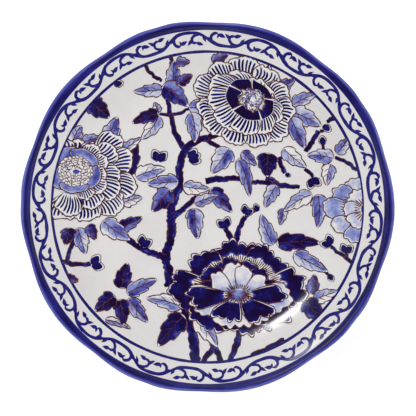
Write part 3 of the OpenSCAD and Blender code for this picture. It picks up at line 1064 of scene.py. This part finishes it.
def petalForm(root, tip, frill, depth, swell):
    # a petal that runs from the points of its root line to those of its scalloped tip line
    rootAt = curveThrough(root)[0]
    tipAt, tipSpan = curveThrough(tip)
    scallops = max(1, round(tipSpan / frill))
    phase = random.uniform(-0.3, 0.3)
    across = (tipAt(1) - tipAt(0)).normalized()

    def place(u, w):
        t = (w + 1) / 2
        near, far = rootAt(t), tipAt(t)
        ahead = far - near
        notch = 1 - abs(math.sin(math.pi * (scallops * t + phase * math.sin(math.pi * t))))
        notch *= 0.75 + 0.9 * noise.noise(Vector((t * scallops * 0.8, phase * 60, 5.0)))
        notch += 0.9 * noise.noise(Vector((t * scallops * 1.1, phase * 40, 2.0)))
        pull = depth * notch / max(ahead.length, depth * 2)
        return near + ahead * (u * (1 - pull * u ** 3)) + across * (w * swell * math.sin(math.pi * u))

    return {"place": place, "faces": scallops * 8, "span": tipSpan,
            "run": (tipAt(0.5) - rootAt(0.5)).length}


def combPetal(drawing, root, tip, reach, rootTone=0.5, frill=5.0, depth=0.9, swell=1.0, pitch=1.0):
    # a white petal with strokes of the brush from near its edge towards its root
    form = petalForm(root, tip, frill, depth, swell)
    place = form["place"]
    shadeEnd = max(0.14, 1 - reach - 0.08)
    layWash(drawing, place, lambda u, w: rootTone * (1 - smoothStep(u / shadeEnd)) ** 3, form["faces"])
    drawing["level"] += 1
    count = max(3, round(form["span"] / (flower["combPitch"] * pitch)))
    bend = random.uniform(-0.16, 0.16)
    for k in range(count):
        middle = (2 * (k + 0.5) / count - 1) * 0.93 + random.uniform(-0.14, 0.14) / count
        far = 1 - flower["combMargin"] * random.uniform(0.6, 1.7) / max(form["run"], 5)
        near = max(0.03, 1 - reach - random.uniform(0, 0.12))
        half = flower["combFill"] / count * random.uniform(0.85, 1.15)
        combStroke(drawing, place, middle, bend, far, near, half, random.uniform(0.72, 0.95))
    outline(drawing, place, form["faces"])
    drawing["level"] += 1


def combStroke(drawing, place, middle, bend, far, near, half, tone):
    # one stroke in the petal's own measure, so the strokes draw together towards its root
    def along(t, w):
        share = half * min(1, 0.5 + 4 * t) * (1 + 0.25 * t) * min(1, 0.25 + 4 * (1 - t))
        return place(mix(far, near, t), middle * (1 - 0.05 * t) + bend * math.sin(math.pi * t) + w * share)

    layGrid(drawing, 10, 1, along, lambda t, w: tone + 0.12 * t, brushPaint)


def washPetal(drawing, root, tip, tone, rootTone, hatch, frill=7.0, depth=1.5, swell=1.0, margin=None):
    # a petal with a wash that stops short of its white edge, and fine lines out of its root;
    # hatch is how far up the petal they run
    form = petalForm(root, tip, frill, depth, swell)
    place = form["place"]
    margin = flower["washMargin"] if margin is None else margin
    layWash(drawing, place, 0.0, form["faces"])
    drawing["level"] += 1
    farEdge = 1 - margin / max(form["run"], 3)
    sideEdge = 1 - 2 * margin / max(form["span"], 5)
    low = tone if rootTone is None else rootTone
    nearEdge = hatch * 0.85 if tone > 0.6 else 0.0

    def wash(u, w):
        spot = place(u, w)
        patch = noise.noise(Vector((spot.x * 0.09, spot.y * 0.09, 6.0)))
        shade = mix(low, tone, smoothStep(u / (0.16 if tone > 0.6 else 0.7)))
        return shade + 0.16 * patch - 0.10 * u ** 6

    def washPlace(u, w):
        uneven = nearEdge * (1 + 0.35 * noise.noise(Vector((w * 3, form["span"], 1.0))))
        return place(mix(0.02 + uneven, farEdge, u), w * sideEdge)

    layWash(drawing, washPlace, wash, form["faces"])
    drawing["level"] += 1
    outline(drawing, place, form["faces"])
    if hatch:
        count = max(3, round((place(hatch / 2, 1) - place(hatch / 2, -1)).length / flower["hatchPitch"]))
        for k in range(count):
            w = (2 * (k + 0.5) / count - 1) * 0.95
            far = hatch * random.uniform(0.85, 1.3)
            near = random.uniform(0.0, 0.06)
            sepia(drawing, lineThrough(place, (near, w), (far, w), 5), flower["hatchWidth"])
    drawing["level"] += 1


def curlyHeart(drawing, centre, rings, stretch, blue):
    # the crowded middle: rings of little round curls, the outermost first
    for radius, count in rings:
        for k in range(count):
            turn = 360 * (k + random.uniform(-0.25, 0.25)) / count
            size = flower["curlSize"] * random.uniform(0.8, 1.15)
            root = polar(radius + random.uniform(-0.3, 0.3), turn)
            lean = turn + random.uniform(-60, 60)

            def curl(u, w):
                spot = root + polar(size * u * (1 + 0.3 * w), lean + 100 * w)
                return Vector(centre) + Vector((spot.x * stretch[0], spot.y * stretch[1]))

            tone = random.uniform(0.3, 0.6) if random.random() < blue else random.uniform(0.0, 0.2)
            layGrid(drawing, 2, 8, curl, lambda u, w: tone, washPaint)
            drawing["level"] += 0.5
            sepia(drawing, lineThrough(curl, (1, -1), (1, 1), 9), 0.62)
            drawing["level"] -= 0.5
        drawing["level"] += 1


def disc(drawing, centre, radii, tone):
    centre = Vector(centre)
    layGrid(drawing, 4, 28, lambda u, w: centre + Vector((radii[0] * u * math.cos(math.pi * w),
                                                          radii[1] * u * math.sin(math.pi * w))),
            lambda u, w: tone, washPaint)
    drawing["level"] += 1


def petalFan(centre, near, far, first, last, count, tilt=0, ragged=0.03, spread=1.2, lean=(0, 0)):
    # petals side by side from one turn to another, those at the back of the flower first; near and
    # far are the half widths of the ovals that hold their roots and their tips
    def onOval(radii, turn, share, push=(0, 0)):
        spot = polar(share, turn - tilt)
        flat = Vector((spot.x * radii[0], spot.y * radii[1]))
        turned = polar(flat.length, math.degrees(math.atan2(flat.y, flat.x)) + tilt)
        return Vector((centre[0] + push[0] + turned.x, centre[1] + push[1] + turned.y))

    half = (last - first) / count / 2 * spread
    petals = []
    for k in range(count):
        turn = mix(first, last, (k + 0.5 + random.uniform(-0.14, 0.14)) / count)
        reach = random.uniform(0.92, 1.06)
        root = [onOval(near, turn + half * w * 0.85, 1.0) for w in (-1, 0, 1)]
        tip = []
        for w in (-1, -0.66, -0.33, 0, 0.33, 0.66, 1):
            out = reach * (1 - 0.13 * w * w) * random.uniform(1 - ragged, 1 + ragged)
            tip.append(onOval(far, turn + half * w, out, lean))
        petals.append((root, tip))
    return sorted(petals, key=lambda petal: -petal[1][3].y)


def flowerRings(values):
    # every ring of petals in turn; a pair of numbers in their look is a range to draw from
    random.seed(values["seed"])
    drawing = newDrawing(flower["level"])
    for fan, petal, look in values["rings"]:
        for root, tip in petalFan(*fan):
            drawn = {key: random.uniform(*value) if isinstance(value, tuple) else value
                     for key, value in look.items()}
            petal(drawing, root, tip, **drawn)
    return drawing


upperFlower = {
    "seed": 3,
    "rings": [
        # white petals with combed strokes, the loose outer ring first
        (((32, 89), (28, 22), (46, 38), 40, 400, 11, -20), combPetal, {"reach": 0.78, "rootTone": 0.4}),
        (((37, 93), (19, 13.5), (36, 27), 20, 380, 8, -30, 0.03, 1.25, (-5, -5)), combPetal,
         {"reach": 0.86, "rootTone": 0.6, "frill": 6.0, "depth": 1.2, "swell": 1.2}),
        # dark ones that fold in round the heart
        (((37, 93), (22.5, 17), (11.0, 9.0), 10, 370, 5, -30, 0.03, 1.3, (2, 0)), washPetal,
         {"tone": 0.97, "rootTone": None, "hatch": 0, "frill": 5.0, "depth": 2.6, "swell": 0.4,
          "margin": 0.9}),
    ],
    "heart": (39, 93),
    "heartSize": (8.6, 9.0),
    "curls": ((6.4, 14), (4.2, 10), (2.0, 6)),  # radius of each ring of curls, and how many
}


def buildUpperFlower():
    drawing = flowerRings(upperFlower)
    disc(drawing, upperFlower["heart"], upperFlower["heartSize"], 0.05)
    curlyHeart(drawing, upperFlower["heart"], upperFlower["curls"], (1.05, 1.05), 0.75)
    finishDrawing(drawing, "upperFlower", "flower_blue", [], ink["pictureEdge"])


buildUpperFlower()


leftFlower = {
    "seed": 5,
    "rings": [
        # small petals behind, then the wide combed ones two deep, then short ruffles
        (((-114, 31), (20, 18), (31, 27), 52, 118, 3), combPetal, {"reach": 0.8}),
        (((-114, 31), (28, 25), (52, 47), -118, 56, 6), combPetal, {"reach": 0.74}),
        (((-114, 31), (22, 20), (42, 37), -112, 46, 5), combPetal, {"reach": 0.82}),
        (((-114, 31), (19, 17), (30, 27), -85, 70, 5), combPetal,
         {"reach": 0.82, "rootTone": 0.6, "depth": 1.0, "swell": 0.6, "pitch": 0.72}),
        # the blue cup round the heart
        (((-114, 31), (13, 11), (24, 21), 20, 380, 5), washPetal,
         {"tone": 0.58, "rootTone": (0.2, 0.5), "hatch": 0, "frill": 12.0, "depth": 0.8, "swell": 0.6,
          "margin": 0.9}),
    ],
    "heart": (-114, 31),
    "heartSize": (14, 12),
    "curls": ((12.0, 26), (9.8, 22), (7.6, 17), (5.4, 12), (3.2, 8)),
    "eye": (-113.5, 30.5),
    "eyeSize": (2.8, 2.0),
}


def buildLeftFlower():
    drawing = flowerRings(leftFlower)
    disc(drawing, leftFlower["heart"], leftFlower["heartSize"], 0.06)
    curlyHeart(drawing, leftFlower["heart"], leftFlower["curls"], (1.08, 0.95), 0.05)
    disc(drawing, leftFlower["eye"], leftFlower["eyeSize"], 0.7)
    finishDrawing(drawing, "leftFlower", "flower_blue", [], ink["pictureEdge"])


buildLeftFlower()


lowerFlower = {
    "seed": 9,
    "rings": [
        # dark petals with white edges round the back
        (((27, -71), (29, 22), (58, 44), 70, 430, 8, 0, 0.07), washPetal,
         {"tone": 0.95, "rootTone": 0.6, "hatch": 0.40, "frill": 9.0, "depth": 4.0, "swell": 0.8}),
        # short dark-tipped ones, and pale ones cupped over the throat
        (((27, -71), (16, 12), (35, 27), -14, 196, 6, 0, 0.05), washPetal,
         {"tone": 0.93, "rootTone": 0.5, "hatch": 0.34, "depth": 2.4, "swell": 1.2, "margin": 0.9}),
        (((27, -75), (7, 3), (26, 27), 12, 170, 4, 0, 0.05, 1.1), washPetal,
         {"tone": (0.16, 0.24), "rootTone": 0.3, "hatch": 0.25, "depth": 1.8, "swell": 1.2,
          "margin": 0.9}),
        # pale turned-over petals, and the dark ones in front with the pale ones between them
        (((27, -76), (16, 9), (46, 29), 172, 372, 3, 0, 0.05), washPetal,
         {"tone": (0.2, 0.32), "rootTone": 0.2, "hatch": 0.16, "frill": 8.0, "depth": 2.8}),
        (((27, -76), (7, 4), (44, 27), 158, 382, 4, 0, 0.07, 0.92), washPetal,
         {"tone": 0.95, "rootTone": 0.6, "hatch": 0.16, "frill": 9.0, "depth": 4.0}),
    ],
    "throat": (26.5, -76.5),
    "throatSize": (8.5, 4.6),
    "throatLines": 34,
    "lineWidth": 0.7,
}


def buildLowerFlower():
    drawing = flowerRings(lowerFlower)
    # blue in the throat, with brown lines that run together over it
    throat = Vector(lowerFlower["throat"])
    disc(drawing, throat, lowerFlower["throatSize"], 0.5)
    for k in range(lowerFlower["throatLines"]):
        turn = 110 + 9 * k
        start, end = (polar(random.uniform(*reach), turn) for reach in ((2.2, 4.5), (7.5, 12.5)))
        line = [throat + Vector((mix(start.x, end.x, t) * 1.25, mix(start.y, end.y, t) * 0.75))
                for t in (0, 0.3, 0.6, 1)]
        sepia(drawing, line, lowerFlower["lineWidth"])
    finishDrawing(drawing, "lowerFlower", "flower_blue", ["picture_blooms"], ink["pictureEdge"])


buildLowerFlower()


paleFlower = {
    "seed": 13,
    "rings": [
        (((136, -2), (14, 13), (34, 29), 92, 268, 5), washPetal,
         {"tone": (0.26, 0.55), "rootTone": (0.1, 0.3), "hatch": 0.3, "depth": 1.8, "swell": 0.8}),
        (((137, -2), (5, 5), (21, 19), 105, 255, 3), washPetal,
         {"tone": (0.16, 0.3), "rootTone": 0.12, "hatch": 0.4, "frill": 6.0, "depth": 1.8, "swell": 0.8}),
    ],
}


def buildPaleFlower():
    drawing = flowerRings(paleFlower)
    finishDrawing(drawing, "paleFlower", "flower_blue", [], ink["pictureEdge"])


buildPaleFlower()
print("picture painted")


studio = {
    "floor": (0.93, 0.93, 0.93),
    "floorSize": 6.0,
    "floorGlow": 0.30,     # a lit table, so the shadow under the lip stays faint
    "sky": 0.42,           # at the horizon
    "skyShades": [(0.0, 1.0), (0.5, 0.6), (0.85, 0.12), (1.0, 0.03)],  # nearly black overhead
    "boxes": 4,            # softboxes round the table
    "boxDistance": 1.5,
    "boxHeight": 1.05,
    "boxSize": (1.3, 0.9),
    "boxPower": 13.2,
    "keyPlace": (-0.35, 0.5, 1.35),
    "keySize": (0.16, 0.16),
    "keyPower": 4.0,
}


def addFloor():
    bm = bmesh.new()
    bmesh.ops.create_grid(bm, x_segments=1, y_segments=1, size=studio["floorSize"] / 2)
    mesh = bpy.data.meshes.new("floor")
    bm.to_mesh(mesh)
    bm.free()
    floor = bpy.data.objects.new("floor", mesh)
    scene.collection.objects.link(floor)
    material, tree, shader = newMaterial("paleFloor", 0.9, specular=0.1)
    shade = addNoise(tree, objectPlace(tree), 3.0, 2.0)
    tone = studio["floor"]
    colour = addRamp(tree, shade, [(0.3, tuple(c * 0.98 for c in tone)), (0.7, tone)])
    tree.links.new(colour, shader.inputs["Base Color"])
    shader.inputs["Emission Color"].default_value = (1.0, 1.0, 1.0, 1.0)
    shader.inputs["Emission Strength"].default_value = studio["floorGlow"]
    mesh.materials.append(material)


def addLight(name, place, size, power):
    # a rectangular lamp that points at the platter
    data = bpy.data.lights.new(name, "AREA")
    data.shape = "RECTANGLE"
    data.size, data.size_y = size
    data.energy = power
    light = bpy.data.objects.new(name, data)
    light.location = place
    light.rotation_euler = Vector(place).to_track_quat("Z", "Y").to_euler()
    scene.collection.objects.link(light)


def addStudio():
    world = bpy.data.worlds.new("studioSky")
    world.use_nodes = True
    tree = world.node_tree
    background = tree.nodes["Background"]
    way = tree.nodes.new("ShaderNodeSeparateXYZ")
    tree.links.new(tree.nodes.new("ShaderNodeTexCoord").outputs["Generated"], way.inputs["Vector"])
    shade = addRamp(tree, way.outputs["Z"], [(at, (grey, grey, grey)) for at, grey in studio["skyShades"]])
    tree.links.new(shade, background.inputs["Color"])
    background.inputs["Strength"].default_value = studio["sky"]
    scene.world = world
    for k in range(studio["boxes"]):
        spot = polar(studio["boxDistance"], 360 * k / studio["boxes"])
        addLight("softBox" + str(k + 1), (spot.x, spot.y, studio["boxHeight"]), studio["boxSize"],
                 studio["boxPower"])
    addLight("keyLight", studio["keyPlace"], studio["keySize"], studio["keyPower"])


addFloor()
addStudio()
print("studio lit")
